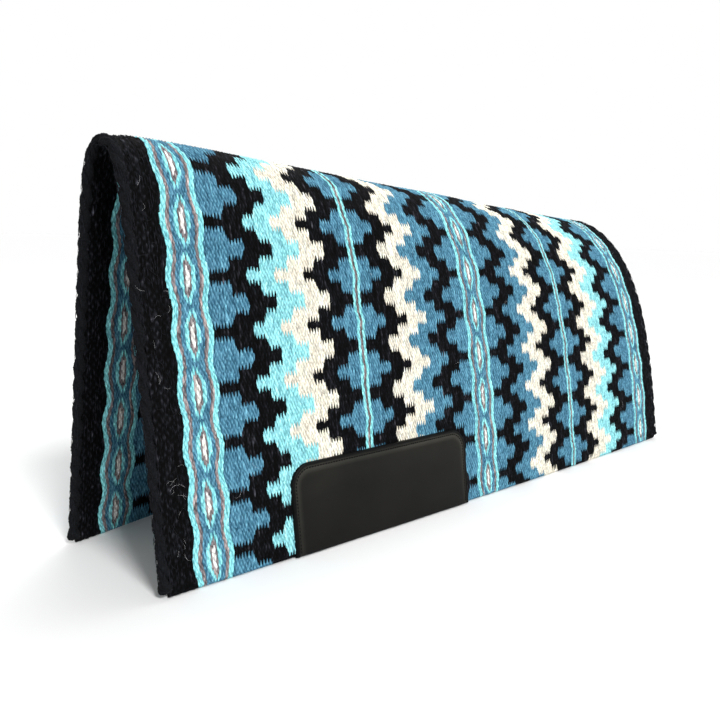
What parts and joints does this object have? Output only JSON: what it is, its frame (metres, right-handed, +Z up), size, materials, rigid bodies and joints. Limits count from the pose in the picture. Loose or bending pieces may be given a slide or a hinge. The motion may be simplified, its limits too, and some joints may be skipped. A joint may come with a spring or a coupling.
{
  "type": "saddle pad",
  "caption": "Woven wool western saddle pad in stepped colour bands, folded over its spine line, with leather wear panels at both hems.",
  "frame": {"origin": "middle of the footprint of the two hems, on the floor that they stand on", "axes": "+Z up; Y along the horse's spine, with the withers (front) at -Y; X across the horse, with its left side at +X"},
  "size_m": [0.3732, 0.914, 0.419],
  "materials": {
    "black_wool": "hand-woven wool, weft-faced, matte",
    "wave_wool": "hand-woven wool in light blue, grey, steel blue and white, matte",
    "field_wool": "hand-woven wool in black, turquoise, cream and steel blue steps, matte",
    "edge_cord_wool": "twined wool cord, matte",
    "wear_leather": "smooth leather, semi-matte",
    "seam_thread": "waxed thread, satin"
  },
  "bodies": {
    "spine": {"front_border_spine": "black_wool", "front_wave_stripe_spine": "wave_wool", "front_step_field_spine": "field_wool", "centre_wave_stripe_spine": "wave_wool", "rear_step_field_spine": "field_wool", "rear_wave_stripe_spine": "wave_wool", "rear_border_spine": "black_wool", "front_edge_cord_spine": "edge_cord_wool", "rear_edge_cord_spine": "edge_cord_wool"},
    "left_flap": {"front_border_left": "black_wool", "front_wave_stripe_left": "wave_wool", "front_step_field_left": "field_wool", "centre_wave_stripe_left": "wave_wool", "rear_step_field_left": "field_wool", "rear_wave_stripe_left": "wave_wool", "rear_border_left": "black_wool", "front_edge_cord_left": "edge_cord_wool", "rear_edge_cord_left": "edge_cord_wool", "left_wear_leather": "wear_leather", "left_seam_thread": "seam_thread"},
    "right_flap": {"front_border_right": "black_wool", "front_wave_stripe_right": "wave_wool", "front_step_field_right": "field_wool", "centre_wave_stripe_right": "wave_wool", "rear_step_field_right": "field_wool", "rear_wave_stripe_right": "wave_wool", "rear_border_right": "black_wool", "front_edge_cord_right": "edge_cord_wool", "rear_edge_cord_right": "edge_cord_wool", "right_wear_leather": "wear_leather", "right_seam_thread": "seam_thread"}
  },
  "joints": [
    {"name": "left_flap_fold", "type": "hinge", "parent": "spine", "child": "left_flap", "pos_m": [0.04579, -0.11425, 0.37211], "axis": [-0.0177, -0.9993, 0.0324], "range_deg": [-11, 70]},
    {"name": "right_flap_fold", "type": "hinge", "parent": "spine", "child": "right_flap", "pos_m": [-0.04579, -0.11425, 0.37211], "axis": [-0.0177, 0.9993, -0.0324], "range_deg": [-11, 70]}
  ]
}
